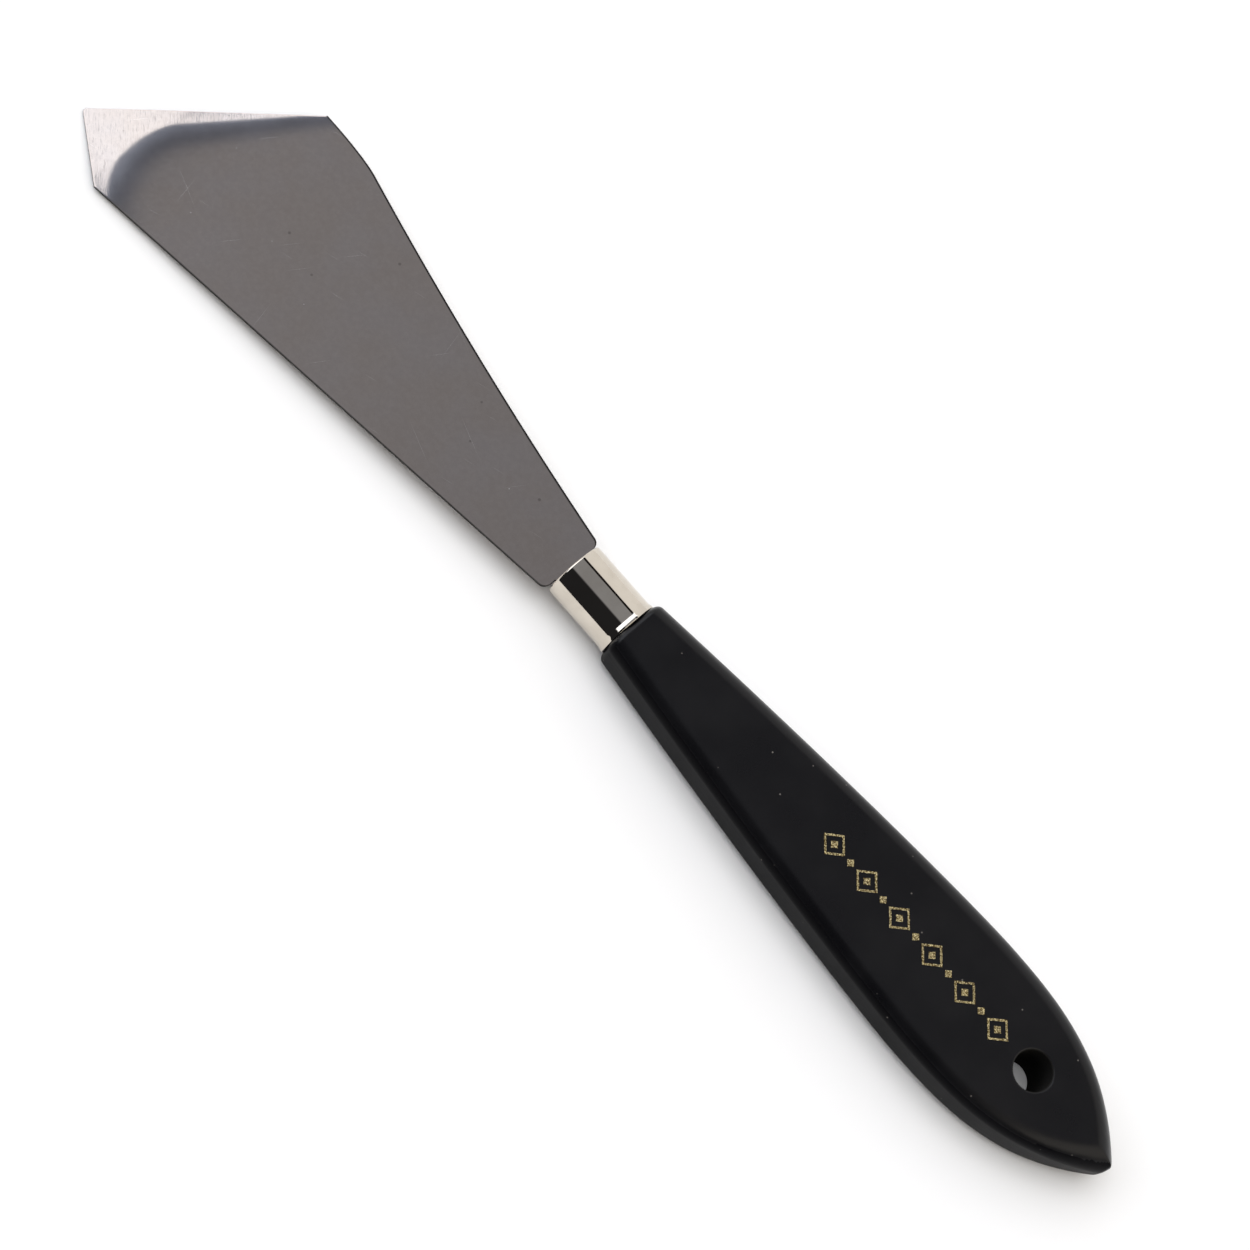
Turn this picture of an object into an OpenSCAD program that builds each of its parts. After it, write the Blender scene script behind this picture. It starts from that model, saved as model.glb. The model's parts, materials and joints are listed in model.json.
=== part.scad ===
// Palette knife: a springy trowel blade held by a ferrule in a flat lacquered wooden handle.
// Origin: centre of the hang hole, halfway through the handle. +X runs to the blade's tip, +Z is up.

/* [Handle] */
// Distance from the hang hole back to where the two sides would meet in a point
apex_reach = 19.4; // [16:0.1:24]
// Distance from the hang hole forward to the widest place
bulge_reach = 15.5; // [10:0.5:25]
// Distance from the hang hole forward to the nose
nose_reach = 88.3; // [75:0.1:110]
// Width at the widest place
handle_w = 23.1; // [18:0.1:26]
// Width at the nose
nose_w = 10.7; // [10.5:0.1:13]
// Thickness between the upper and the lower flat
handle_t = 10.4; // [10.4:0.1:12]
// Radius of the rounded long edges
edge_r = 2.9; // [1.5:0.1:4]
// Radius of the long edges where they meet at the butt's point
point_edge_r = 4.7; // [3:0.1:4.9]
// Distance from the hang hole back to where the long edges start to grow rounder
edge_grow_reach = 5; // [0:0.5:12]
// Radius of the rounding around the nose
nose_r = 1.1; // [0.4:0.1:1.5]
// Fullness of the butt's outline, where a higher number is blunter
butt_power = 2.8; // [2:0.05:3]
// Radius of the butt's rounded point, seen from above
butt_r = 2; // [1:0.1:3]
// Shape of the taper to the nose, where 1 is straight
taper_power = 1.34; // [1:0.02:1.6]

/* [Hang hole] */
// Diameter of the hang hole
hole_d = 6.2; // [4:0.1:8]
// Depth of the bevel at each end of the hang hole
hole_bevel = 0.35; // [0.1:0.05:0.8]

/* [Ferrule] */
// Outside diameter of the ferrule
ferrule_d = 10; // [8:0.1:10]
// Length of the ferrule
ferrule_len = 12.4; // [8:0.1:20]
// Wall of the ferrule
ferrule_wall = 0.5; // [0.3:0.05:0.8]
// How far the ferrule flares out at the handle
flare = 0.2; // [0.1:0.05:0.2]
// Length of the flare
flare_len = 1.2; // [0.8:0.1:2]

/* [Blade] */
// Length of the blade from the ferrule's mouth to its far corner
blade_len = 104; // [90:0.5:110]
// Width of the blade across its shoulders
root_w = 11.8; // [11:0.1:14]
// Radius of each shoulder
shoulder_r = 1.3; // [0.8:0.1:1.5]
// Thickness of the sheet
blade_t = 0.6; // [0.4:0.05:1]
// Distance of the far corner from the centreline
far_side = 8.7; // [6:0.1:12]
// Distance of the long edge's corner behind the far corner
long_corner_back = 11.6; // [6:0.1:16]
// Distance of the long edge's corner from the centreline
long_side = 16; // [14:0.1:18]
// Distance of the short edge's corner behind the far corner
short_corner_back = 23.5; // [18:0.1:30]
// Distance of the short edge's corner from the centreline
short_side = 21; // [18:0.1:24]
// Length of the short edge's curved end, where it turns forward
heel_len = 12.5; // [8:0.5:16]
// How far the short edge bows in between the shoulder and the curved end
short_bow = 0.8; // [0:0.1:1.5]
// Angle by which the blade is set down from the handle's centreline
blade_drop = 2.6; // [0:0.1:2.8]
// Radius of the far corner
corner_r = 0.8; // [0.3:0.1:1.5]
// Width of the ground band along the slanted end
grind_w = 9; // [4:0.5:12]
// Thickness left at the slanted edge
edge_t = 0.25; // [0.15:0.05:0.35]

/* [Tang] */
// Width of the tang
tang_w = 7; // [4:0.1:8]
// Length of the tang behind the ferrule's mouth
tang_len = 40; // [25:1:60]
// Width of the slot for the tang
slot_w = 8; // [8:0.1:8.4]
// Height of the slot for the tang
slot_h = 1.4; // [1.2:0.1:2]
// Length of the adhesive behind the end of the tang
glue_end = 2; // [1:0.5:4]

/* [Foil ornament] */
// Distance from the hang hole to the ornament's near end
foil_start = 5.6; // [5:0.1:15]
// Number of open lozenges in the ornament
foil_count = 6; // [3:1:8]
// Length of one repeat of the ornament
foil_pitch = 7.2; // [5:0.1:9]
// Length of an open lozenge
lozenge_len = 4.6; // [3:0.1:5]
// Height of an open lozenge
lozenge_h = 4.4; // [3:0.1:6]
// Width of the ornament's lines
foil_line = 0.45; // [0.3:0.05:0.8]
// Thickness of the foil
foil_t = 0.05; // [0.02:0.01:0.1]

/* [Hidden] */

mouth_x = nose_reach + ferrule_len;
half_t = handle_t / 2;
tenon_d = ferrule_d - 2 * ferrule_wall;
tenon_back = 0.6;
tenon_end_x = mouth_x - tenon_back;
// Free gap between the ferrule's mouth and the blade, so that the blade can bend there
blade_gap = 0.4;
// How far a cutting solid runs past what it cuts
over = 1;
// Steps around the point, along the butt, along the taper, around the nose and around each long edge
point_steps = 8;
butt_steps = 24;
taper_steps = 22;
nose_steps = 6;
edge_steps = 7;
// Half width at which the pointed butt is blunted
butt_blunt = 0.3;
// Half width below which the two rounded edges meet in a ridge
ridge = 0.001;
// Rise of the short edge's curved end over its length, and how soon the curve turns
heel_rise = 0.09;
heel_turn_share = 0.27;
curve_steps = 12;
corner_steps = 6;
round_fn = 96;

black_lacquer = [0.09, 0.09, 0.1];
nickel = [0.85, 0.84, 0.8];
steel = [0.47, 0.46, 0.45];
amber_glue = [0.72, 0.55, 0.25];
gold_leaf = [0.83, 0.68, 0.3];

function mix(a, b, t) = a * (1 - t) + b * t;

// Half the handle's width at x behind the widest place, before the point is rounded
function butt_width(x) =
    handle_w / 2 * (1 - pow((bulge_reach - x) / (bulge_reach + apex_reach), butt_power));

// The butt's rounded point: slope of the sides, centre of the rounding and where it joins the sides
butt_slope = atan(handle_w / 2 * butt_power / (bulge_reach + apex_reach));
butt_centre_x = butt_r / sin(butt_slope) - apex_reach;
butt_join_x = butt_centre_x - butt_r * sin(butt_slope);
// Share by which the rounding is widened to meet the sides
butt_fit = butt_width(butt_join_x) / (butt_r * cos(butt_slope));

// Half the handle's width at x, before the nose is rounded
function half_width(x) =
    x < butt_join_x ? butt_fit * sqrt(max(butt_r * butt_r - pow(x - butt_centre_x, 2), 0))
    : x < bulge_reach ? butt_width(x)
    : (handle_w - (handle_w - nose_w) * pow((x - bulge_reach) / (nose_reach - bulge_reach), taper_power)) / 2;

// Cosine of the outline's slope at x, which stays as it is around the butt's point
slope_step = 0.05;
function slope_cos(x) =
    let (from = max(x, butt_join_x), rise = half_width(from + slope_step) - half_width(from))
    slope_step / sqrt(slope_step * slope_step + rise * rise);

// How far the rounding of the nose cuts in at x
function nose_cut(x) =
    let (d = x - (nose_reach - nose_r))
    d <= 0 ? 0 : nose_r - sqrt(max(nose_r * nose_r - d * d, 0));

// Radius of the rounded long edges at x
function edge_at(x) =
    let (past = max(-x - edge_grow_reach, 0) / (butt_r - butt_centre_x - edge_grow_reach))
    mix(edge_r, point_edge_r, past * past);

// Largest angle of an edge rounding of radius r that fits a section of half width h
function edge_angle(h, c, r) = h * c >= r ? 90 : acos(1 - h * c / r);

// One quarter of the section at x, from its side up to its flat
function quarter(x) =
    let (
        cut = nose_cut(x),
        h = half_width(x) - cut,
        c = slope_cos(x),
        r = edge_at(x),
        top = edge_angle(h, c, r)
    )
    [for (i = [0 : edge_steps])
        let (a = top * i / edge_steps, y = h - r * (1 - cos(a)) / c)
        [y < ridge ? 0 : y, half_t - cut - r * (1 - sin(a))]];

// The whole section at x, counter-clockwise seen from the blade
function section(x) =
    let (q = quarter(x), n = len(q) - 1)
    concat(
        [for (i = [0 : n]) [x, q[i][0], q[i][1]]],
        [for (i = [n : -1 : 0]) [x, -q[i][0], q[i][1]]],
        [for (i = [0 : n]) [x, -q[i][0], -q[i][1]]],
        [for (i = [n : -1 : 0]) [x, q[i][0], -q[i][1]]]
    );

// Places along the handle at which a section is taken
point_from = asin(butt_blunt / butt_r);
point_to = 90 - butt_slope;
nose_round_x = nose_reach - nose_r;
stations = concat(
    [for (i = [0 : point_steps - 1])
        butt_centre_x - butt_r * cos(mix(point_from, point_to, i / point_steps))],
    [for (i = [0 : butt_steps - 1])
        butt_join_x + (bulge_reach - butt_join_x) * (1 - cos(90 * (i + 0.3) / (butt_steps + 0.3)))],
    [for (i = [0 : taper_steps - 1]) bulge_reach + (nose_round_x - bulge_reach) * i / taper_steps],
    [for (i = [0 : nose_steps]) nose_round_x + nose_r * sin(90 * i / nose_steps)]
);

module shaped_body() {
    rings = [for (x = stations) section(x)];
    count = len(rings[0]);
    last = len(rings) - 1;
    faces = concat(
        [[for (j = [0 : count - 1]) j]],
        [for (i = [0 : last - 1], j = [0 : count - 1])
            let (k = (j + 1) % count)
            [i * count + j, (i + 1) * count + j, (i + 1) * count + k, i * count + k]],
        [[for (j = [count - 1 : -1 : 0]) last * count + j]]
    );
    polyhedron([for (ring = rings, p = ring) p], faces);
}

module hole_cutter() {
    cylinder(h = handle_t + 2 * over, d = hole_d, center = true, $fn = round_fn);
    for (side = [0, 1])
        mirror([0, 0, side])
            translate([0, 0, half_t - hole_bevel])
                cylinder(
                    h = hole_bevel + over,
                    d1 = hole_d,
                    d2 = hole_d + 2 * (hole_bevel + over),
                    $fn = round_fn
                );
}

module tang_slot() {
    translate([mouth_x - tang_len - glue_end, -slot_w / 2, -slot_h / 2])
        cube([tang_len + glue_end - tenon_back, slot_w, slot_h]);
}

// The tang, from its rear end up to the ferrule's mouth
module tang_strip() {
    translate([mouth_x - tang_len, -tang_w / 2, -blade_t / 2])
        cube([tang_len, tang_w, blade_t]);
}

module handle() {
    color(black_lacquer)
        difference() {
            union() {
                shaped_body();
                translate([nose_reach - over, 0, 0])
                    rotate([0, 90, 0])
                        cylinder(h = tenon_end_x - nose_reach + over, d = tenon_d, $fn = round_fn);
            }
            hole_cutter();
            tang_slot();
            translate([tenon_end_x - slot_h, -slot_w / 2, -slot_h / 2])
                cube([slot_h + over, slot_w, slot_h]);
        }
}

// Half section of the ferrule's wall: distance from the handle's nose, then radius
module ferrule_section() {
    r = ferrule_d / 2;
    lip = ferrule_wall / 2;
    polygon(concat(
        [for (i = [0 : curve_steps])
            [r + flare * (1 + cos(180 * i / curve_steps)) / 2, flare_len * i / curve_steps]],
        [for (i = [0 : corner_steps])
            let (a = 180 * i / corner_steps)
            [r - lip + lip * cos(a), ferrule_len - lip + lip * sin(a)]],
        [[r - ferrule_wall, 0]]
    ));
}

module ferrule() {
    color(nickel)
        translate([nose_reach, 0, 0])
            rotate([0, 90, 0])
                rotate_extrude($fn = round_fn)
                    ferrule_section();
}

// Corners of the blade: distance from the mouth, then distance from the centreline
far_corner = [blade_len, far_side];
long_corner = [blade_len - long_corner_back, long_side];
short_corner = [blade_len - short_corner_back, -short_side];
heel_start = [short_corner[0] - heel_len, -short_side + heel_rise * heel_len];

function unit(v) = v / norm(v);
// Points of a curve from a to c that leaves toward b and arrives from b
function bend(a, b, c, steps) =
    [for (i = [0 : steps]) let (t = i / steps) mix(mix(a, b, t), mix(b, c, t), t)];

// A shoulder quarter on side s, from the ferrule's mouth out to the edge
function shoulder(s) =
    [for (i = [0 : corner_steps])
        let (a = 90 * i / corner_steps)
        [
            blade_gap + shoulder_r * (1 - cos(a)),
            s * (root_w / 2 - shoulder_r * (1 - sin(a)))
        ]];

module blade_outline() {
    long_way = unit(long_corner - far_corner);
    slant_way = unit(short_corner - far_corner);
    short_root = [blade_gap + shoulder_r, -root_w / 2];
    short_mid = mix(short_root, heel_start, 0.5) + [0, 2 * short_bow];
    heel_way = unit(heel_start - short_mid);
    heel_turn = heel_start + heel_way * heel_len * heel_turn_share;
    polygon(concat(
        bend(short_root, short_mid, heel_start, curve_steps),
        bend(heel_start, heel_turn, short_corner, corner_steps),
        bend(far_corner + slant_way * corner_r, far_corner, far_corner + long_way * corner_r, corner_steps),
        [long_corner],
        [for (i = [corner_steps : -1 : 0]) shoulder(1)[i]],
        [for (i = [0 : corner_steps - 1]) shoulder(-1)[i]]
    ));
}

// Slab whose lower face grinds the blade's upper face down to the slanted edge
module grind_cutter() {
    slant = far_corner - short_corner;
    cut = blade_t - edge_t;
    translate([short_corner[0], short_corner[1], blade_t / 2 - cut])
        rotate([0, 0, atan2(slant[1], slant[0])])
            rotate([atan(cut / grind_w), 0, 0])
                translate([-grind_w, -grind_w, 0])
                    cube([norm(slant) + 2 * grind_w, 4 * grind_w, 4 * over]);
}

module blade() {
    color(steel)
        translate([mouth_x, 0, 0])
            rotate([0, blade_drop, 0])
                difference() {
                    translate([0, 0, -blade_t / 2])
                        linear_extrude(blade_t)
                            blade_outline();
                    grind_cutter();
                }
}

module tang() {
    color(steel)
        tang_strip();
}

module tang_glue() {
    color(amber_glue)
        difference() {
            tang_slot();
            tang_strip();
        }
}

module lozenge(length, height) {
    linear_extrude(foil_t)
        polygon([[length / 2, 0], [0, height / 2], [-length / 2, 0], [0, -height / 2]]);
}

module open_lozenge(length, height) {
    inner = 1 - 2 * foil_line / height;
    difference() {
        lozenge(length, height);
        translate([0, 0, -over])
            scale([inner, inner, 2 * over / foil_t])
                lozenge(length, height);
    }
}

module foil_ornament() {
    bead = lozenge_h / 3;
    rule = foil_line / 2;
    span = (foil_count - 1) * foil_pitch + lozenge_len;
    color(gold_leaf)
        translate([foil_start, 0, half_t])
            union() {
                translate([foil_line, -rule / 2, 0])
                    cube([span - 2 * foil_line, rule, foil_t]);
                for (i = [0 : foil_count - 1])
                    translate([lozenge_len / 2 + i * foil_pitch, 0, 0]) {
                        open_lozenge(lozenge_len, lozenge_h);
                        lozenge(bead, bead);
                        if (i > 0)
                            translate([-foil_pitch / 2, 0, 0])
                                lozenge(bead, bead);
                    }
            }
}

handle();
ferrule();
blade();
tang();
tang_glue();
foil_ornament();
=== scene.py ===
import json
import math

import bmesh
import bpy
import numpy as np
from mathutils import Matrix, Vector, noise


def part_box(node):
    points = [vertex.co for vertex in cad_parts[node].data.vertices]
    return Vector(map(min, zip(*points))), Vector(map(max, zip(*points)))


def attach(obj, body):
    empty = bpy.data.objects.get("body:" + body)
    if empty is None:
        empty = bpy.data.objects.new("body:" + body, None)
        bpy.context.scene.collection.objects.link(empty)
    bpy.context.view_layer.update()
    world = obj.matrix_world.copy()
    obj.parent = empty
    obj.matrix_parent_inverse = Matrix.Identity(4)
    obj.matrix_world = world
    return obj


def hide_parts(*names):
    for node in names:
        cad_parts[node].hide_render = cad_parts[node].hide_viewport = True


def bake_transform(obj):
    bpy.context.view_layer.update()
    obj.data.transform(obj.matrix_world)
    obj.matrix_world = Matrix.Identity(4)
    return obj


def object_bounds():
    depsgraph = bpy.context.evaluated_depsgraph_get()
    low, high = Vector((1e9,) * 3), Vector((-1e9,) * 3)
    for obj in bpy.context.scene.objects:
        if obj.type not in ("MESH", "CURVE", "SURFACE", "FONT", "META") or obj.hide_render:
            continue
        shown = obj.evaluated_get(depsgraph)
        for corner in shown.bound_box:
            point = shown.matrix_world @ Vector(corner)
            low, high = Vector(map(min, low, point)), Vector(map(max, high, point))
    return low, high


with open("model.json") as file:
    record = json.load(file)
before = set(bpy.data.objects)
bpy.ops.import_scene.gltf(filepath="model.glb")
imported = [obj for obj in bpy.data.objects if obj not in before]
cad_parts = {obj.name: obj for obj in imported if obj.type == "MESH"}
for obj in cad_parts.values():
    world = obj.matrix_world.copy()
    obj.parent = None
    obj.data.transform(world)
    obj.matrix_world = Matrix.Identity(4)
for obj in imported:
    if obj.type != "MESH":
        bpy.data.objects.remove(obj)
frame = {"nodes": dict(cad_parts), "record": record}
cad_low, cad_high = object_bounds()

# Sizes of the model are in millimetres until a mesh is made, and its objects are in metres.
MM = 0.001


def span(node):
    """Lowest and highest corner of a CAD node, in millimetres."""
    low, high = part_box(node)
    return low / MM, high / MM


HANDLE_HIGH = span("handle")[1]
FERRULE_LOW, FERRULE_HIGH = span("ferrule")
TANG_HIGH = span("tang")[1]
GLUE_LOW, GLUE_HIGH = span("tang_glue")
FOIL_LOW, FOIL_HIGH = span("foil_ornament")
HOLE_R = next(m["dims"]["r_mm"] for m in frame["record"]["mounts"] if m["name"] == "hang_hole")
NOSE_X = FERRULE_LOW.x
MOUTH_X = FERRULE_HIGH.x
HALF_T = HANDLE_HIGH.z

# Handle
BULGE_X = 15.5
NOSE_W = 10.7
EDGE_R = 2.9
POINT_EDGE_R = 4.7
EDGE_GROW_REACH = 5.0
NOSE_R = 1.1
BUTT_POWER = 2.8
APEX_REACH = 19.4
BUTT_R = 2.0
BUTT_BLUNT = 0.3
TAPER_POWER = 1.34
HOLE_ROUND = 0.35
TENON_GAP = 0.7
# Ferrule
TUBE_R = 5.0
TUBE_WALL = 0.5
TUBE_FLARE = FERRULE_HIGH.y - TUBE_R
FLARE_LEN = 1.2
LIP_R = 0.3
REAR_ROUND = 0.12
# Blade, from the ferrule's mouth and before it is set down
BLADE_DROP = math.radians(2.6)
BLADE_LEN = 104.0
ROOT_W = 11.8
SHOULDER_R = 1.3
BLADE_T = 0.6
BLADE_GAP = 0.4
FAR_CORNER = Vector((BLADE_LEN, 8.7))
LONG_CORNER = Vector((BLADE_LEN - 11.6, 16.0))
SHORT_CORNER = Vector((BLADE_LEN - 23.5, -21.0))
HEEL_LEN = 12.5
HEEL_RISE = 0.09
HEEL_TURN = 0.27
SHORT_BOW = 0.8
CORNER_R = 0.8
EDGE_ROUND = 0.26
NECK_BACK = 0.15
# Foil ornament
LOZENGE_LEN = 4.6
LOZENGE_H = 4.4
LOZENGE_PITCH = 7.2
LOZENGE_LINE = 0.45
LOZENGE_COUNT = 6
BEAD_SIZE = LOZENGE_H / 3
RAGGED = 0.05
FOIL_SEED = 1
# Studio and camera
WALL_LEAN = math.radians(-35.2)
KEY_ENERGY = 1.38
KEY_ANGLE = math.radians(53)
KEY_TOWARD = Vector((0.10, -0.05, 1.0))
CAMERA_AIM = Vector((89.15, -0.24, 0.0))
CAMERA_AZIMUTH = math.radians(190.69)
CAMERA_ELEVATION = math.radians(67.05)
CAMERA_ROLL = 0.722
CAMERA_DISTANCE = 412.6
CAMERA_LENS = 78.87


# ---------------------------------------------------------------- meshes
def new_object(name, mesh):
    obj = bpy.data.objects.new(name, mesh)
    bpy.context.scene.collection.objects.link(obj)
    return obj


def object_from(name, bm):
    """A smooth-shaded object from a bmesh whose points are in millimetres."""
    bmesh.ops.recalc_face_normals(bm, faces=bm.faces)
    bmesh.ops.scale(bm, vec=(MM, MM, MM), verts=bm.verts)
    mesh = bpy.data.meshes.new(name)
    bm.to_mesh(mesh)
    bm.free()
    mesh.polygons.foreach_set("use_smooth", [True] * len(mesh.polygons))
    return new_object(name, mesh)


def skin(bm, rings, caps=True, closed=False):
    """Quads between rings of points, and a face over each end or a strip that closes the tube."""
    rows = [[bm.verts.new(p) for p in ring] for ring in rings]
    count = len(rows[0])
    pairs = list(zip(rows, rows[1:])) + ([(rows[-1], rows[0])] if closed else [])
    for a, b in pairs:
        for j in range(count):
            k = (j + 1) % count
            bm.faces.new((a[j], b[j], b[k], a[k]))
    if caps:
        bm.faces.new(rows[0])
        bm.faces.new(rows[-1][::-1])
    return rows


def revolve_x(profile, count, caps=False, closed=True):
    """A ring-shaped solid from (x, radius) points turned about the X axis."""
    bm = bmesh.new()
    turns = [2 * math.pi * j / count for j in range(count)]
    skin(bm, [[(x, r * math.cos(t), r * math.sin(t)) for t in turns] for x, r in profile], caps, closed)
    return bm


def cut(obj, cutters):
    """Takes the cutters out of obj for good, and removes them."""
    for cutter in cutters:
        mod = obj.modifiers.new("cut", "BOOLEAN")
        mod.operation = "DIFFERENCE"
        mod.solver = "EXACT"
        mod.object = cutter
    bpy.context.view_layer.update()
    made = bpy.data.meshes.new_from_object(obj.evaluated_get(bpy.context.evaluated_depsgraph_get()))
    obj.modifiers.clear()
    obj.data = made
    for cutter in cutters:
        bpy.data.objects.remove(cutter)


def keep_flats_flat(obj):
    mod = obj.modifiers.new("flat_normals", "WEIGHTED_NORMAL")
    mod.mode = "FACE_AREA"
    mod.weight = 90


# ---------------------------------------------------------------- handle
def butt_width(x):
    """Half width behind the widest place, before the butt's point is rounded."""
    return HANDLE_HIGH.y * (1 - ((BULGE_X - x) / (BULGE_X + APEX_REACH)) ** BUTT_POWER)


# The butt's rounded point: slope of the sides, centre of the rounding, and where it joins the sides
BUTT_SLOPE = math.atan(HANDLE_HIGH.y * BUTT_POWER / (BULGE_X + APEX_REACH))
BUTT_CENTRE_X = BUTT_R / math.sin(BUTT_SLOPE) - APEX_REACH
BUTT_JOIN_X = BUTT_CENTRE_X - BUTT_R * math.sin(BUTT_SLOPE)
BUTT_FIT = butt_width(BUTT_JOIN_X) / (BUTT_R * math.cos(BUTT_SLOPE))


def half_width(x):
    if x < BUTT_JOIN_X:
        return BUTT_FIT * math.sqrt(max(BUTT_R ** 2 - (x - BUTT_CENTRE_X) ** 2, 0))
    if x < BULGE_X:
        return butt_width(x)
    share = (x - BULGE_X) / (NOSE_X - BULGE_X)
    return HANDLE_HIGH.y - (HANDLE_HIGH.y - NOSE_W / 2) * share ** TAPER_POWER


def slope_cos(x):
    """Cosine of the outline's slope, which stays as it is around the butt's point."""
    step = 0.05
    start = max(x, BUTT_JOIN_X)
    return step / math.hypot(step, half_width(start + step) - half_width(start))


def edge_at(x):
    """Radius of the long edges, which grow rounder towards the butt's point."""
    past = max(-x - EDGE_GROW_REACH, 0) / (BUTT_R - BUTT_CENTRE_X - EDGE_GROW_REACH)
    return EDGE_R + (POINT_EDGE_R - EDGE_R) * past * past


def handle_section(x, steps=14):
    """The handle's outline across x, counter-clockwise seen from the blade."""
    past = x - (NOSE_X - NOSE_R)
    trim = NOSE_R - math.sqrt(max(NOSE_R ** 2 - past ** 2, 0)) if past > 0 else 0
    half, c, r = half_width(x) - trim, slope_cos(x), edge_at(x)
    top = math.pi / 2 if half * c >= r else math.acos(1 - half * c / r)
    quarter = []
    for i in range(steps + 1):
        a = top * i / steps
        y = half - r * (1 - math.cos(a)) / c
        quarter.append((max(y, 0.002), HALF_T - trim - r * (1 - math.sin(a))))
    return (
        [(x, y, z) for y, z in quarter]
        + [(x, -y, z) for y, z in reversed(quarter)]
        + [(x, -y, -z) for y, z in quarter]
        + [(x, y, -z) for y, z in reversed(quarter)]
    )


def handle_stations():
    first, last = math.asin(BUTT_BLUNT / BUTT_R), math.pi / 2 - BUTT_SLOPE
    point = [BUTT_CENTRE_X - BUTT_R * math.cos(first + (last - first) * i / 12) for i in range(12)]
    turns = [math.pi / 2 * (i + 0.3) / 40.3 for i in range(40)]
    butt = [BUTT_JOIN_X + (BULGE_X - BUTT_JOIN_X) * (1 - math.cos(turn)) for turn in turns]
    taper = [BULGE_X + (NOSE_X - NOSE_R - BULGE_X) * i / 48 for i in range(48)]
    nose = [NOSE_X - NOSE_R + NOSE_R * math.sin(math.pi / 2 * i / 10) for i in range(11)]
    return point + butt + taper + nose


def make_handle():
    sections = [handle_section(x) for x in handle_stations()]
    tenon_r = HALF_T - TENON_GAP
    last = sections[-1]
    for x in (NOSE_X + 0.3, GLUE_HIGH.x):
        sections.append([(x, *(Vector(p[1:]).normalized() * tenon_r)) for p in last])
    bm = bmesh.new()
    skin(bm, sections)
    handle = object_from("handle_lacquered", bm)
    cut(handle, [hole_cutter(), slot_cutter()])
    handle.data.materials.clear()
    mark_handle_faces(handle.data)
    keep_flats_flat(handle)
    return handle


def mark_handle_faces(mesh):
    """Material 1 on the wall of the hang hole, 2 (the lacquer copy with painted shade) on the +Y side and 0
    elsewhere.
    """
    for face in mesh.polygons:
        near_hole = math.hypot(face.center.x, face.center.y) < (HOLE_R + HOLE_ROUND * 0.4) * MM
        in_hole = near_hole and abs(face.normal.z) < 0.8
        on_side = face.normal.y > 0.5 and abs(face.normal.z) < 0.66
        face.material_index = 1 if in_hole else 2 if on_side else 0


def hole_cutter():
    """The hang hole with a rounded rim at each end."""
    rim = HOLE_R + HOLE_ROUND
    profile = [(HALF_T + 2, rim)]
    for i in range(9):
        a = math.pi / 2 * i / 8
        profile.append((HALF_T - HOLE_ROUND + HOLE_ROUND * math.cos(a), rim - HOLE_ROUND * math.sin(a)))
    profile += [(-x, r) for x, r in reversed(profile)]
    bm = revolve_x(profile, 96, caps=True, closed=False)
    bmesh.ops.rotate(bm, matrix=Matrix.Rotation(math.pi / 2, 3, "Y"), verts=bm.verts)
    return object_from("hole_cutter", bm)


def slot_cutter():
    bm = bmesh.new()
    half_w, half_h = GLUE_HIGH.y, GLUE_HIGH.z
    corners = [(-half_w, -half_h), (half_w, -half_h), (half_w, half_h), (-half_w, half_h)]
    skin(bm, [[(x, y, z) for y, z in corners] for x in (GLUE_LOW.x, GLUE_HIGH.x + 2)])
    return object_from("slot_cutter", bm)


# ---------------------------------------------------------------- ferrule
def make_ferrule():
    """The tube from its rounded rear edge over the flare to the rolled lip at the mouth, and back inside."""
    rear = []
    for i in range(8):
        a = math.pi / 2 * i / 7
        x = NOSE_X + REAR_ROUND * (1 - math.sin(a))
        rear.append((x, TUBE_R + TUBE_FLARE - REAR_ROUND * (1 - math.cos(a))))
    flare = []
    for i in range(1, 17):
        run = REAR_ROUND + (FLARE_LEN - REAR_ROUND) * i / 16
        flare.append((NOSE_X + run, TUBE_R + TUBE_FLARE * (1 + math.cos(math.pi * i / 16)) / 2))
    lip = []
    for i in range(13):
        a = math.pi * i / 12
        lip.append((MOUTH_X - LIP_R + LIP_R * math.sin(a), TUBE_R - LIP_R + LIP_R * math.cos(a)))
    inner = [(NOSE_X + 0.02, TUBE_R - TUBE_WALL)]
    ferrule = object_from("ferrule_tube", revolve_x(rear[::-1] + flare + lip + inner, 160))
    keep_flats_flat(ferrule)
    return ferrule


# ---------------------------------------------------------------- blade
def bend(a, b, c, steps):
    """Points of a curve from a to c that leaves toward b and arrives from b."""
    out = []
    for i in range(steps + 1):
        t = i / steps
        out.append(a.lerp(b, t).lerp(b.lerp(c, t), t))
    return out


def resample(points, shares):
    """Points at these shares of a line's length."""
    pts = np.array([tuple(p) for p in points])
    along = np.concatenate([[0], np.cumsum(np.hypot(*np.diff(pts, axis=0).T))])
    want = np.array(shares) * along[-1]
    return np.stack([np.interp(want, along, pts[:, 0]), np.interp(want, along, pts[:, 1])], 1)


def short_side():
    root = Vector((BLADE_GAP + SHOULDER_R, -ROOT_W / 2))
    heel = Vector((SHORT_CORNER.x - HEEL_LEN, SHORT_CORNER.y + HEEL_RISE * HEEL_LEN))
    mid = root.lerp(heel, 0.5) + Vector((0, 2 * SHORT_BOW))
    turn = heel + (heel - mid).normalized() * HEEL_LEN * HEEL_TURN
    return bend(root, mid, heel, 40) + bend(heel, turn, SHORT_CORNER, 24)[1:]


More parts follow.
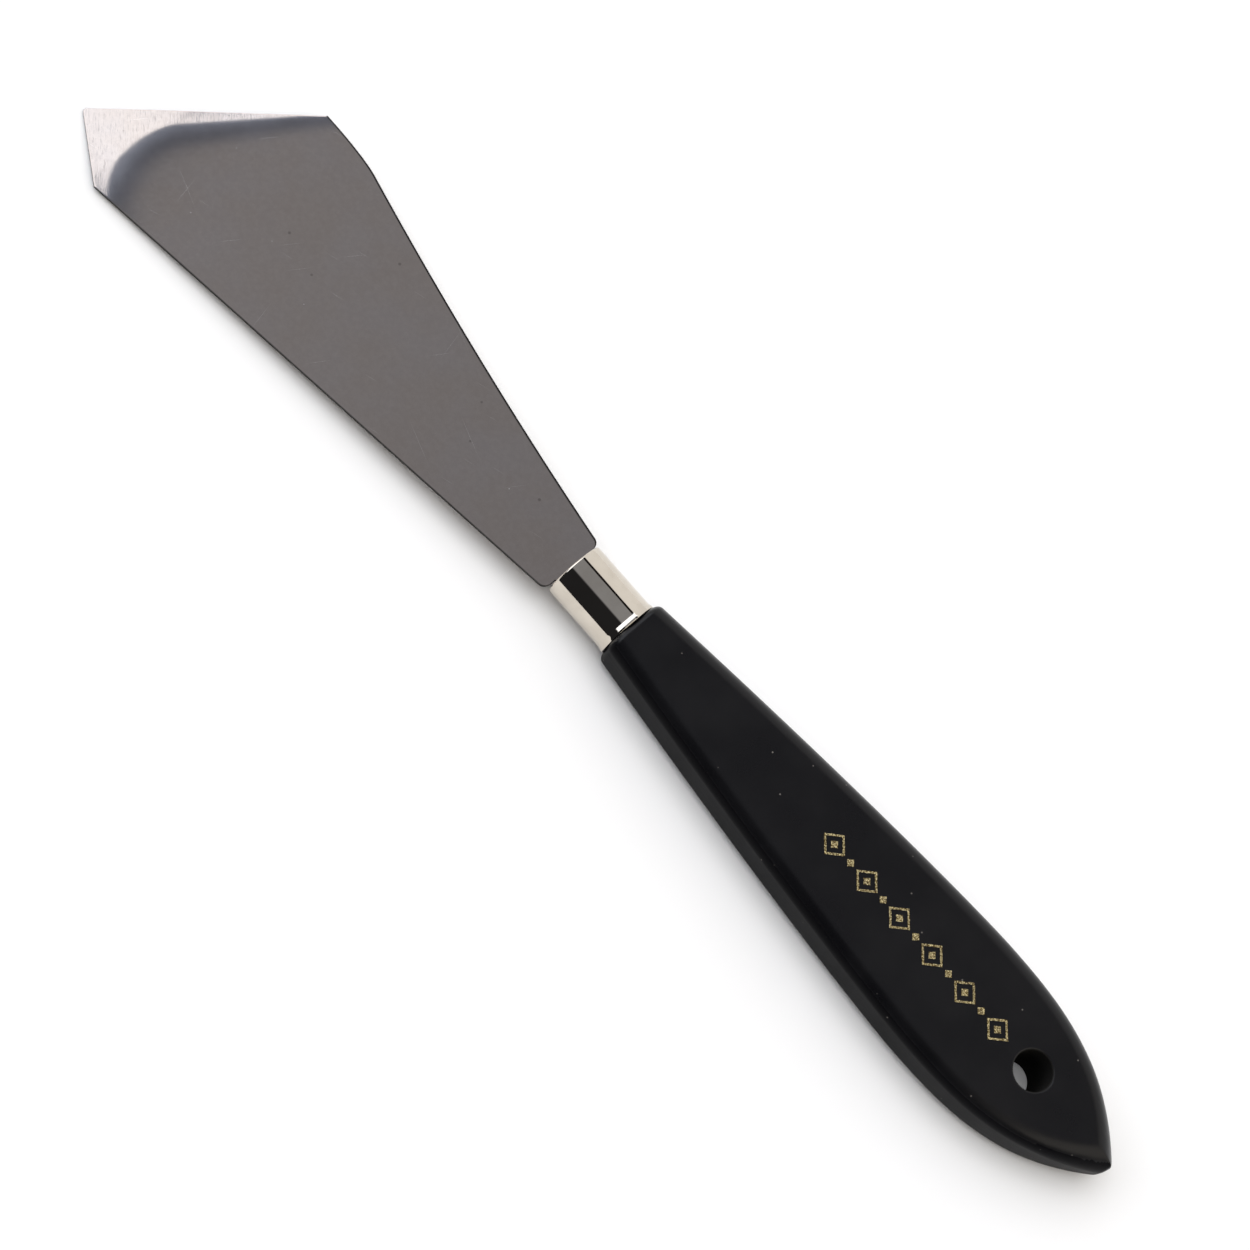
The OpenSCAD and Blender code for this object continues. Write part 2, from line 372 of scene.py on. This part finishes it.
def long_side():
    """The long edge, and the short straight from its corner round to the slanted edge."""
    end_way = (LONG_CORNER - FAR_CORNER).normalized()
    slant_way = (SHORT_CORNER - FAR_CORNER).normalized()
    root = Vector((BLADE_GAP + SHOULDER_R, ROOT_W / 2))
    turn = bend(FAR_CORNER + end_way * CORNER_R, FAR_CORNER, FAR_CORNER + slant_way * CORNER_R, 8)
    return root, [LONG_CORNER] + turn


def blade_rows():
    """Ends of each row of the blade's grid, from the shoulders to the slanted edge."""
    rows = []
    for i in range(7):
        a = math.pi / 2 * i / 6
        x = BLADE_GAP + SHOULDER_R * (1 - math.cos(a))
        y = ROOT_W / 2 - SHOULDER_R * (1 - math.sin(a))
        rows.append(((x, -y), (x, y)))
    root, end = long_side()
    end_line = np.array([tuple(p) for p in end])
    end_len = np.hypot(*np.diff(end_line, axis=0).T).sum()
    edge_len = (LONG_CORNER - root).length
    split = edge_len / (edge_len + end_len)
    early = [split * 0.72 * i / 70 for i in range(1, 71)]
    early += [split * (0.72 + 0.28 * i / 80) for i in range(1, 81)]
    late = [split + (1 - split) * i / 40 for i in range(1, 41)]
    low = resample(short_side(), early + late)
    high = np.concatenate([
        resample([root, LONG_CORNER], [s / split for s in early]),
        resample(end, [(s - split) / (1 - split) for s in late]),
    ])
    return rows + [(tuple(a), tuple(b)) for a, b in zip(low, high)]


# The ground end: a line beside the slanted edge that turns through an arc to the long edge
GRIND_WAY = math.radians(58.1)
GRIND_STRAIGHT = 23.7
GRIND_ARC_R = 12.1
GRIND_ARC_END = math.radians(65)
GRIND_INSET = -0.2
# Slope of the ground end by the distance beyond its line
GRIND_SLOPES = (
    (-6.5, 0.0), (-4.5, 0.004), (-2.5, 0.013), (-1.0, 0.021),
    (-0.3, 0.026), (0.4, 0.046), (10.0, 0.037), (20.0, 0.0),
)
GRIND_GROWTH = 0.05
GRIND_GROWTH_FROM = 94.0
# How much narrower the painted dark rim, a painted dark reflection along the edge, is on the long edge than
# on the short one
LONG_PAINTED_RIM_LESS = 0.28


def past_grind_line(x, y):
    """How far a point of the blade lies beyond the line of the ground end."""
    way = Vector((math.cos(GRIND_WAY), math.sin(GRIND_WAY)))
    inward = Vector((-way.y, way.x))
    start = SHORT_CORNER + inward * GRIND_INSET
    offset = Vector((x, y)) - start
    if offset.dot(way) < GRIND_STRAIGHT:
        return -offset.dot(inward)
    spoke = Vector((x, y)) - start - way * GRIND_STRAIGHT - inward * GRIND_ARC_R
    if math.atan2(spoke.y, spoke.x) > GRIND_ARC_END:
        return spoke.dot(Vector((math.cos(GRIND_ARC_END), math.sin(GRIND_ARC_END)))) - GRIND_ARC_R
    return spoke.length - GRIND_ARC_R


def grind_depth(past):
    """How deep the grinding has gone at this distance beyond its line."""
    depth = 0.0
    for (a, slope_a), (b, slope_b) in zip(GRIND_SLOPES, GRIND_SLOPES[1:]):
        run = min(max(past - a, 0.0), b - a)
        depth += run * (slope_a + (slope_b - slope_a) * run / (b - a) / 2)
    return depth


def grind_strength(x):
    """The grinding gets a little steeper toward the short edge's corner."""
    return 1 + GRIND_GROWTH * max(GRIND_GROWTH_FROM - x, 0.0)


def rim_gap(low, high, share):
    """Distance from the short or the long edge, for the dark rim, a painted dark reflection that is narrower
    on the long edge.
    """
    half = (high - low).length / 2
    return min((1 + share) * half, (1 - share) * half + LONG_PAINTED_RIM_LESS)


def flat_sheet(bm):
    """The top of the blade and its neck as a grid of faces, with the distance to the rim at each point."""
    half_neck = TANG_HIGH.y
    neck = half_neck / (ROOT_W / 2 - SHOULDER_R)
    outer = [neck + (1 - neck) * i / 16 for i in range(1, 17)]
    shares = [-s for s in reversed(outer)] + [neck * i / 26 for i in range(-26, 27)] + outer
    gap = bm.verts.layers.float.new("rim_gap")
    grid = []
    for low, high in blade_rows():
        low, high = Vector(low), Vector(high)
        grid.append([bm.verts.new((*low.lerp(high, (s + 1) / 2), BLADE_T / 2)) for s in shares])
        for v, s in zip(grid[-1], shares):
            v[gap] = rim_gap(low, high, s)
    faces = strip_faces(bm, grid)
    inner = grid[0][16:-16]
    stub = [[bm.verts.new((x, v.co.y, BLADE_T / 2)) for v in inner] for x in (-NECK_BACK, 0.12)] + [inner]
    for v in stub[0] + stub[1]:
        v[gap] = half_neck
    return faces + strip_faces(bm, stub)


def strip_faces(bm, rows):
    faces = []
    for a, b in zip(rows, rows[1:]):
        for j in range(len(a) - 1):
            faces.append(bm.faces.new((a[j], b[j], b[j + 1], a[j + 1])))
    return faces


def thicken(bm, faces):
    """Gives the flat sheet its thickness and rounds the edges of its top and bottom."""
    extruded = bmesh.ops.extrude_face_region(bm, geom=faces)["geom"]
    for v in extruded:
        if isinstance(v, bmesh.types.BMVert):
            v.co.z = -BLADE_T / 2
    bm.normal_update()
    rim = []
    for e in bm.edges:
        level = abs(e.verts[0].co.z - e.verts[1].co.z) < 0.01
        if level and len(e.link_faces) == 2 and e.calc_face_angle(0) > 1.2:
            rim.append(e)
    rounding = {"offset": EDGE_ROUND, "segments": 3, "profile": 0.5}
    bmesh.ops.bevel(bm, geom=rim, affect="EDGES", clamp_overlap=True, **rounding)


def mark_blade_faces(mesh, rest):
    """Material 1, the painted dark edge, on the sheet's steep edges, but not along the ground slanted edge.
    """
    slant_out = Vector((FAR_CORNER.y - SHORT_CORNER.y, SHORT_CORNER.x - FAR_CORNER.x)).normalized()
    steep = math.cos(math.radians(8))
    for face in mesh.polygons:
        at_edge = Vector(rest[face.vertices[0]][:2])
        on_slant = (at_edge - SHORT_CORNER).dot(slant_out) > -0.4 and at_edge.x < FAR_CORNER.x - 1.2
        face.material_index = 0 if on_slant or abs(face.normal.z) > steep else 1


def make_blade():
    bm = bmesh.new()
    thicken(bm, flat_sheet(bm))
    rest, ground = [], []
    for v in bm.verts:
        past = past_grind_line(v.co.x, v.co.y)
        depth = grind_depth(past) * grind_strength(v.co.x)
        v.co.z = -BLADE_T / 2 + (v.co.z + BLADE_T / 2) * (BLADE_T - depth) / BLADE_T
        rest.append(tuple(v.co))
        ground.append(past)
    turn = Matrix.Rotation(BLADE_DROP, 4, "Y")
    bmesh.ops.transform(bm, matrix=Matrix.Translation((MOUTH_X, 0, 0)) @ turn, verts=bm.verts)
    blade = object_from("blade_sheet", bm)
    at = blade.data.attributes.new("rest_mm", "FLOAT_VECTOR", "POINT")
    at.data.foreach_set("vector", np.array(rest, np.float32).ravel())
    at = blade.data.attributes.new("past_grind", "FLOAT", "POINT")
    at.data.foreach_set("value", np.array(ground, np.float32))
    mark_blade_faces(blade.data, rest)
    keep_flats_flat(blade)
    return blade


# ---------------------------------------------------------------- foil
def lozenge(cx, length, height, steps):
    """Points around a lozenge centred on (cx, 0)."""
    points = []
    corners = [(length / 2, 0), (0, height / 2), (-length / 2, 0), (0, -height / 2)]
    for (ax, ay), (bx, by) in zip(corners, corners[1:] + corners[:1]):
        points += [(cx + ax + (bx - ax) * i / steps, ay + (by - ay) * i / steps) for i in range(steps)]
    return points


def ragged_points(bm, points, seed):
    """Points of the foil's top, each moved a little, as the edge of stamped foil is."""
    made = []
    for x, y in points:
        n = noise.noise_vector(Vector((x * 3.1, y * 3.1, seed)))
        made.append(bm.verts.new((x + n.x * RAGGED, y + n.y * RAGGED, FOIL_HIGH.z)))
    return made


def make_foil():
    noise.seed_set(FOIL_SEED)
    bm = bmesh.new()
    shrink = 1 - 2 * LOZENGE_LINE / LOZENGE_H
    start = FOIL_LOW.x + LOZENGE_LEN / 2
    for i in range(LOZENGE_COUNT):
        cx = start + i * LOZENGE_PITCH
        ring_out = ragged_points(bm, lozenge(cx, LOZENGE_LEN, LOZENGE_H, 8), 0.3)
        ring_in = ragged_points(bm, lozenge(cx, LOZENGE_LEN * shrink, LOZENGE_H * shrink, 8), 1.7)
        n = len(ring_out)
        for j in range(n):
            k = (j + 1) % n
            bm.faces.new((ring_out[j], ring_out[k], ring_in[k], ring_in[j]))
        bm.faces.new(ragged_points(bm, lozenge(cx, BEAD_SIZE, BEAD_SIZE, 4), 2.9))
        if i:
            between = lozenge(cx - LOZENGE_PITCH / 2, BEAD_SIZE, BEAD_SIZE, 4)
            bm.faces.new(ragged_points(bm, between, 4.1))
    extruded = bmesh.ops.extrude_face_region(bm, geom=list(bm.faces))["geom"]
    for v in extruded:
        if isinstance(v, bmesh.types.BMVert):
            v.co.z = FOIL_LOW.z
    for v in bm.verts:
        v.co.x = min(max(v.co.x, FOIL_LOW.x), FOIL_HIGH.x)
        v.co.y = min(max(v.co.y, FOIL_LOW.y), FOIL_HIGH.y)
    foil = object_from("foil_stamping", bm)
    foil.data.polygons.foreach_set("use_smooth", [False] * len(foil.data.polygons))
    return foil


# ---------------------------------------------------------------- shader nodes
class Graph:
    """Adds nodes to one tree. An input is a number, a colour or another node's socket."""

    def __init__(self, tree):
        self.tree = tree
        tree.nodes.clear()

    def node(self, kind, inputs=None, **settings):
        made = self.tree.nodes.new("ShaderNode" + kind)
        for key, value in settings.items():
            setattr(made, key, value)
        for key, value in (inputs or {}).items():
            if isinstance(value, bpy.types.NodeSocket):
                self.tree.links.new(value, made.inputs[key])
            else:
                made.inputs[key].default_value = value
        return made

    def math(self, operation, *values):
        return self.node("Math", dict(enumerate(values)), operation=operation).outputs[0]

    def scaled(self, vector, scale, turn=0.0):
        """The vector turned about Z, then scaled."""
        inputs = {"Vector": vector, "Rotation": (0, 0, turn)}
        turned = self.node("Mapping", inputs, vector_type="POINT").outputs[0]
        return self.vector("MULTIPLY", turned, scale)

    def vector(self, operation, *values):
        return self.node("VectorMath", dict(enumerate(values)), operation=operation).outputs[0]

    def noise(self, vector, scale=1.0, detail=4.0, roughness=0.5):
        inputs = {"Vector": vector, "Scale": scale, "Detail": detail, "Roughness": roughness}
        return self.node("TexNoise", inputs).outputs["Fac"]

    def remap(self, value, low, high, to_low=0.0, to_high=1.0, smooth=True):
        inputs = {"Value": value, "From Min": low, "From Max": high, "To Min": to_low, "To Max": to_high}
        kind = "SMOOTHSTEP" if smooth else "LINEAR"
        return self.node("MapRange", inputs, interpolation_type=kind, clamp=True).outputs[0]

    def mix(self, share, a, b):
        inputs = {"Factor": share, 6: a, 7: b}
        return self.node("Mix", inputs, data_type="RGBA").outputs[2]

    def bump(self, height, distance, normal=None):
        inputs = {"Height": height, "Distance": distance, "Strength": 1.0}
        if normal is not None:
            inputs["Normal"] = normal
        return self.node("Bump", inputs).outputs[0]


def colour(r, g, b):
    return (r, g, b, 1.0)


def new_material(name):
    made = bpy.data.materials.new(name)
    made.use_nodes = True
    graph = Graph(made.node_tree)
    shader = graph.node("BsdfPrincipled")
    out = graph.node("OutputMaterial")
    made.node_tree.links.new(shader.outputs[0], out.inputs[0])
    return made, graph, shader


def feed(graph, shader, **inputs):
    """Sets or links the shader's inputs; a name's spaces are written as underscores."""
    for key, value in inputs.items():
        socket = shader.inputs[key.replace("_", " ")]
        if isinstance(value, bpy.types.NodeSocket):
            graph.tree.links.new(value, socket)
        else:
            socket.default_value = value


def object_mm(graph):
    """Object coordinates in millimetres."""
    where = graph.node("TexCoord").outputs["Object"]
    return graph.node("VectorMath", {0: where, "Scale": 1 / MM}, operation="SCALE").outputs[0]


def scratches(graph, where, turn, spacing, reach, width, share):
    """Straight thin scratches of random length, one at most in each cell of a long grid."""
    laid = graph.scaled(where, (1 / reach, 1 / spacing, 1.0), turn)
    inside = graph.node("SeparateXYZ", {0: graph.vector("FRACTION", laid)}).outputs
    cell = graph.vector("MULTIPLY", graph.vector("FLOOR", laid), (1.0, 1.0, 0.0))
    luck = graph.node("SeparateColor", {0: graph.node("TexWhiteNoise", {0: cell}).outputs["Color"]}).outputs
    middle_across = graph.remap(luck[1], 0, 1, 0.2, 0.8, False)
    middle_along = graph.remap(luck[2], 0, 1, 0.3, 0.7, False)
    across = graph.math("ABSOLUTE", graph.math("SUBTRACT", inside[1], middle_across))
    along = graph.math("ABSOLUTE", graph.math("SUBTRACT", inside[0], middle_along))
    line = graph.remap(across, 0.0, width / spacing, 1.0, 0.0)
    ends = graph.remap(along, 0.05, 0.28, 1.0, 0.0)
    chosen = graph.math("LESS_THAN", luck[0], share)
    return graph.math("MULTIPLY", graph.math("MULTIPLY", line, ends), chosen)


def specks(graph, where, scale, share, size):
    """Small round spots in a few of the cells of a scatter."""
    cells = graph.node("TexVoronoi", {"Vector": where, "Scale": scale}, feature="F1")
    pick = graph.node("SeparateColor", {0: cells.outputs["Color"]}).outputs[0]
    chosen = graph.math("LESS_THAN", pick, share)
    spot = graph.remap(cells.outputs["Distance"], size * 0.5, size, 1.0, 0.0)
    return graph.math("MULTIPLY", chosen, spot)


def lacquer(name, gloss, roughness):
    mat, g, shader = new_material(name)
    where = object_mm(g)
    cloud = g.noise(where, 0.12, 3.0)
    grain = g.noise(g.scaled(where, (0.06, 1.6, 1.6)), 1.0, 4.0, 0.6)
    peel = g.noise(where, 1.5, 2.0)
    dust = specks(g, where, 0.55, 0.16, 0.09)
    tone = g.mix(cloud, colour(0.0025, 0.0025, 0.0032), colour(0.0045, 0.0043, 0.0052))
    tone = g.mix(dust, tone, colour(0.13, 0.12, 0.11))
    rough = g.remap(cloud, 0.3, 0.7, roughness, roughness + 0.08)
    rough = g.math("ADD", rough, g.math("MULTIPLY", dust, 0.3))
    relief = g.bump(grain, 1.5e-5)
    relief = g.bump(peel, 6e-6, relief)
    feed(g, shader, Base_Color=tone, Roughness=rough, Specular_IOR_Level=gloss, Normal=relief)
    return mat


def bare_hole():
    """The drilled wall of the hang hole: stained wood without lacquer."""
    mat, g, shader = new_material("stained_hole_wall")
    where = object_mm(g)
    fibre = g.noise(g.scaled(where, (0.5, 2.5, 6.0)), 1.0, 4.0, 0.6)
    tone = g.mix(fibre, colour(0.008, 0.008, 0.008), colour(0.022, 0.021, 0.019))
    feed(g, shader, Base_Color=tone, Roughness=0.9, Specular_IOR_Level=0.0, Normal=g.bump(fibre, 1.5e-5))
    return mat


def nickel():
    mat, g, shader = new_material("nickel_plate")
    where = object_mm(g)
    smear = g.noise(where, 0.35, 3.0)
    drawn = g.noise(g.scaled(where, (0.25, 7.0, 7.0)), 1.0, 3.0)
    lines = scratches(g, where, 0.05, 1.3, 5.0, 0.03, 0.3)
    tone = g.mix(g.remap(smear, 0.35, 0.7), colour(0.66, 0.61, 0.53), colour(0.60, 0.55, 0.475))
    rough = g.math("ADD", g.remap(smear, 0.3, 0.75, 0.03, 0.06), g.math("MULTIPLY", lines, 0.12))
    relief = g.bump(drawn, 6e-7)
    feed(g, shader, Base_Color=tone, Metallic=1.0, Roughness=rough, Normal=relief)
    return mat


def blade_steel():
    mat, g, shader = new_material("blade_steel")
    where = g.node("Attribute", attribute_name="rest_mm").outputs["Vector"]
    past = g.node("Attribute", attribute_name="past_grind").outputs["Fac"]
    ground = g.remap(past, -1.2, 1.5)
    grain = g.noise(g.scaled(where, (0.12, 5.0, 1.0)), 1.0, 3.0, 0.6)
    smudge = g.noise(where, 0.07, 4.0, 0.6)
    lines = scratches(g, where, 0.35, 3.1, 17.0, 0.035, 0.18)
    for turn, spacing, reach in ((-1.05, 5.7, 9.0), (1.3, 7.3, 13.0), (-0.3, 4.1, 5.0)):
        lines = g.math("MAXIMUM", lines, scratches(g, where, turn, spacing, reach, 0.03, 0.16))
    pits = specks(g, where, 0.28, 0.22, 0.09)
    cut_lines = g.noise(g.scaled(where, (0.5, 5.0, 1.0), math.radians(38)), 1.0, 4.0, 0.7)
    mottle = g.noise(where, 1.1, 3.0, 0.7)
    tone = g.mix(g.remap(smudge, 0.35, 0.7), colour(0.425, 0.376, 0.340), colour(0.432, 0.392, 0.368))
    tone = g.mix(g.remap(mottle, 0.3, 0.75, 0.0, 0.22), tone, colour(0.56, 0.51, 0.47))
    tone = g.mix(g.math("MULTIPLY", pits, 0.6), tone, colour(0.2, 0.18, 0.16))
    tone = g.mix(g.math("MULTIPLY", lines, 0.55), tone, colour(0.80, 0.77, 0.74))
    grit = specks(g, where, 0.45, 0.10, 0.06)
    tone = g.mix(g.math("MULTIPLY", grit, 0.8), tone, colour(0.85, 0.83, 0.80))
    cut_dark = g.math("MULTIPLY", ground, g.remap(cut_lines, 0.5, 0.72, 0.0, 0.8))
    tone = g.mix(cut_dark, tone, colour(0.29, 0.265, 0.25))
    # Painted dark reflection: the steel is coloured near black along its rounded edges, standing in for the
    # dark line they reflect.
    rim = g.remap(g.node("Attribute", attribute_name="rim_gap").outputs["Fac"], 0.22, 0.42, 1.0, 0.0)
    tone = g.mix(rim, tone, colour(0.07, 0.065, 0.06))
    rough = g.remap(smudge, 0.3, 0.75, 0.055, 0.075)
    rough = g.math("ADD", rough, g.math("MULTIPLY", lines, 0.1))
    rough = g.math("ADD", rough, g.math("MULTIPLY", ground, g.remap(cut_lines, 0.35, 0.7, 0.0, 0.05)))
    relief = g.bump(grain, 2e-7)
    relief = g.bump(g.math("MULTIPLY", cut_lines, ground), 4e-6, relief)
    feed(g, shader, Base_Color=tone, Metallic=1.0, Roughness=rough, Normal=relief)
    return mat


def painted_dark_edge():
    """The sheet's cut edges, dull and coloured near black: a painted dark reflection along the edge."""
    mat, g, shader = new_material("painted_dark_edge")
    where = g.node("Attribute", attribute_name="rest_mm").outputs["Vector"]
    bite = g.noise(g.scaled(where, (3.0, 3.0, 0.7)), 1.0, 4.0, 0.6)
    # Painted dark reflection: near-black colour on the cut edges.
    tone = g.mix(bite, colour(0.012, 0.011, 0.011), colour(0.04, 0.037, 0.035))
    rough = g.remap(bite, 0.3, 0.7, 0.5, 0.7)
    feed(g, shader, Base_Color=tone, Specular_IOR_Level=0.12, Roughness=rough, Normal=g.bump(bite, 5e-6))
    return mat


def tang_steel():
    mat, g, shader = new_material("tang_steel")
    where = object_mm(g)
    grain = g.noise(g.scaled(where, (0.15, 4.0, 4.0)), 1.0, 3.0)
    tone = g.mix(grain, colour(0.42, 0.39, 0.36), colour(0.52, 0.48, 0.44))
    rough = g.remap(grain, 0.3, 0.7, 0.25, 0.38)
    feed(g, shader, Base_Color=tone, Metallic=1.0, Roughness=rough, Normal=g.bump(grain, 1e-6))
    return mat


def epoxy():
    mat, g, shader = new_material("epoxy")
    where = object_mm(g)
    cloud = g.noise(where, 0.8, 4.0)
    tone = g.mix(cloud, colour(0.30, 0.20, 0.08), colour(0.46, 0.33, 0.14))
    rough = g.remap(cloud, 0.3, 0.7, 0.25, 0.5)
    feed(g, shader, Base_Color=tone, Roughness=rough, Normal=g.bump(cloud, 2e-5))
    return mat


def gold_foil():
    mat, g, shader = new_material("gold_foil")
    where = object_mm(g)
    wear = g.noise(where, 2.6, 5.0, 0.7)
    patch = g.noise(where, 0.5, 2.0)
    worn = g.remap(g.math("ADD", wear, g.math("MULTIPLY", patch, 0.35)), 0.62, 0.54)
    crinkle_and_painted_sheen = g.noise(where, 5.5, 3.0, 0.6)
    # Painted highlights and shade: the colour runs from dark brown to pale gold along the crinkles, as light
    # falling on crinkled foil would show.
    tone = g.mix(g.remap(crinkle_and_painted_sheen, 0.45, 0.61), colour(0.13, 0.082, 0.022), colour(1.0, 0.87, 0.48))
    tone = g.mix(worn, tone, colour(0.05, 0.032, 0.014))
    metal = g.math("SUBTRACT", 1.0, worn)
    rough = g.remap(wear, 0.3, 0.7, 0.22, 0.4)
    feed(g, shader, Base_Color=tone, Metallic=metal, Roughness=rough, Normal=g.bump(crinkle_and_painted_sheen, 7e-5))
    return mat


def paper():
    mat, g, shader = new_material("pale_floor")
    where = object_mm(g)
    fleck = g.noise(where, 0.02, 3.0)
    tone = g.mix(fleck, colour(0.80, 0.80, 0.80), colour(0.83, 0.83, 0.83))
    feed(g, shader, Base_Color=tone, Roughness=0.9, Specular_IOR_Level=0.1)
    return mat


# ---------------------------------------------------------------- studio
def make_floor():
    bm = bmesh.new()
    bmesh.ops.create_grid(bm, x_segments=2, y_segments=2, size=4000)
    floor = object_from("floor", bm)
    floor.location.z = cad_low.z
    floor.data.materials.append(paper())


def make_world():
    """A studio by direction: white wall toward -Y, softboxes at both ends, grey ceiling, dark room toward +Y.

    lean is the angle from straight up toward +Y. nearest says how far a direction lies inside the wall or a
    softbox. It is negative outside them, where a dark seam comes just before their edge.
    """
    world = bpy.data.worlds.new("studio")
    bpy.context.scene.world = world
    world.use_nodes = True
    g = Graph(world.node_tree)
    axes = g.node("SeparateXYZ", {0: g.node("TexCoord").outputs["Generated"]}).outputs
    lean = g.math("ARCTAN2", axes[1], axes[2])
    side = g.math("ABSOLUTE", axes[0])
    wall = g.math("SUBTRACT", WALL_LEAN, lean)
    box = g.math("MULTIPLY", g.math("SUBTRACT", side, g.remap(axes[0], 0.2, 0.35, 0.422, 0.432)), 2.5)
    nearest = g.math("MAXIMUM", wall, box)
    ceiling = g.mix(g.remap(axes[0], 0.05, -0.25), colour(0.31, 0.315, 0.34), colour(0.42, 0.42, 0.44))
    ceiling = g.mix(g.remap(axes[0], 0.12, 0.42, smooth=False), ceiling, colour(0.41, 0.415, 0.445))
    haze = g.mix(g.remap(nearest, -0.07, -0.025), colour(0.175, 0.20, 0.26), colour(0.33, 0.40, 0.55))
    seam = g.mix(g.remap(axes[0], 0.2, 0.35), colour(0.012, 0.011, 0.01), haze)
    seam_from = g.remap(axes[0], 0.2, 0.35, -0.155, -0.15)
    seam_full = g.remap(axes[0], 0.2, 0.35, -0.13, -0.075)
    tone = g.mix(g.remap(nearest, seam_from, seam_full), ceiling, seam)
    ends = g.mix(g.remap(axes[0], -0.2, 0.2), colour(1.5, 1.4, 1.25), colour(2.1, 2.16, 2.31))
    bright = g.math("MULTIPLY", g.remap(side, 0.3, 0.41), g.remap(lean, math.radians(-44), math.radians(-36)))
    white = g.mix(bright, colour(1.0, 0.98, 0.97), ends)
    tone = g.mix(g.remap(nearest, -0.006, 0.006), tone, white)
    shade_from = g.remap(side, 0.40, 0.44, math.radians(18.5), math.radians(48))
    shaded = g.remap(g.math("SUBTRACT", lean, shade_from), 0.0, 0.12)
    tone = g.mix(shaded, tone, colour(0.02, 0.02, 0.022))
    studio = g.node("Background", {"Color": tone, "Strength": 1.0}).outputs[0]
    plain = g.node("Background", {"Color": colour(1, 1, 1), "Strength": 1.0}).outputs[0]
    seen = g.node("LightPath").outputs["Is Camera Ray"]
    both = g.node("MixShader", {0: seen, 1: studio, 2: plain}).outputs[0]
    g.node("OutputWorld", {"Surface": both})


def make_key_light():
    light = bpy.data.lights.new("soft_key", "SUN")
    light.energy = KEY_ENERGY
    light.angle = KEY_ANGLE
    key = bpy.data.objects.new("soft_key", light)
    bpy.context.scene.collection.objects.link(key)
    key.rotation_mode = "QUATERNION"
    key.rotation_quaternion = KEY_TOWARD.to_track_quat("Z", "Y")
    key.visible_glossy = False


def make_camera():
    data = bpy.data.cameras.new("camera")
    data.sensor_width = 36
    data.lens = CAMERA_LENS
    data.clip_start = 0.01
    camera = bpy.data.objects.new("camera", data)
    bpy.context.scene.collection.objects.link(camera)
    back = Vector((
        math.sin(CAMERA_AZIMUTH) * math.cos(CAMERA_ELEVATION),
        -math.cos(CAMERA_AZIMUTH) * math.cos(CAMERA_ELEVATION),
        math.sin(CAMERA_ELEVATION),
    ))
    start = (Vector((1, 0, 0)) - back * back.x).normalized()
    up = start * math.cos(CAMERA_ROLL) + (-back).cross(start) * math.sin(CAMERA_ROLL)
    right = up.cross(back)
    place = Matrix.Translation(CAMERA_AIM * MM + back * (CAMERA_DISTANCE * MM))
    camera.matrix_world = place @ Matrix((right, up, back)).transposed().to_4x4()
    bpy.context.scene.camera = camera


def main():
    handle = make_handle()
    handle.data.materials.append(lacquer("black_lacquer", 0.24, 0.27))
    handle.data.materials.append(bare_hole())
    # A copy of the lacquer that reflects far less, on the +Y side only: painted shade.
    handle.data.materials.append(lacquer("black_lacquer_painted_shade_side", 0.032, 0.3))
    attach(handle, "handle")
    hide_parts("handle")

    ferrule = make_ferrule()
    ferrule.data.materials.append(nickel())
    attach(ferrule, "handle")
    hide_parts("ferrule")

    foil = make_foil()
    foil.data.materials.append(gold_foil())
    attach(foil, "handle")
    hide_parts("foil_ornament")

    for node, made in (("tang", tang_steel()), ("tang_glue", epoxy())):
        data = frame["nodes"][node].data
        data.materials.clear()
        data.materials.append(made)

    blade = make_blade()
    blade.data.materials.append(blade_steel())
    blade.data.materials.append(painted_dark_edge())
    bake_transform(blade)
    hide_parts("blade")

    make_floor()
    make_world()
    make_key_light()
    make_camera()
    bpy.context.scene.view_settings.view_transform = "Standard"


main()
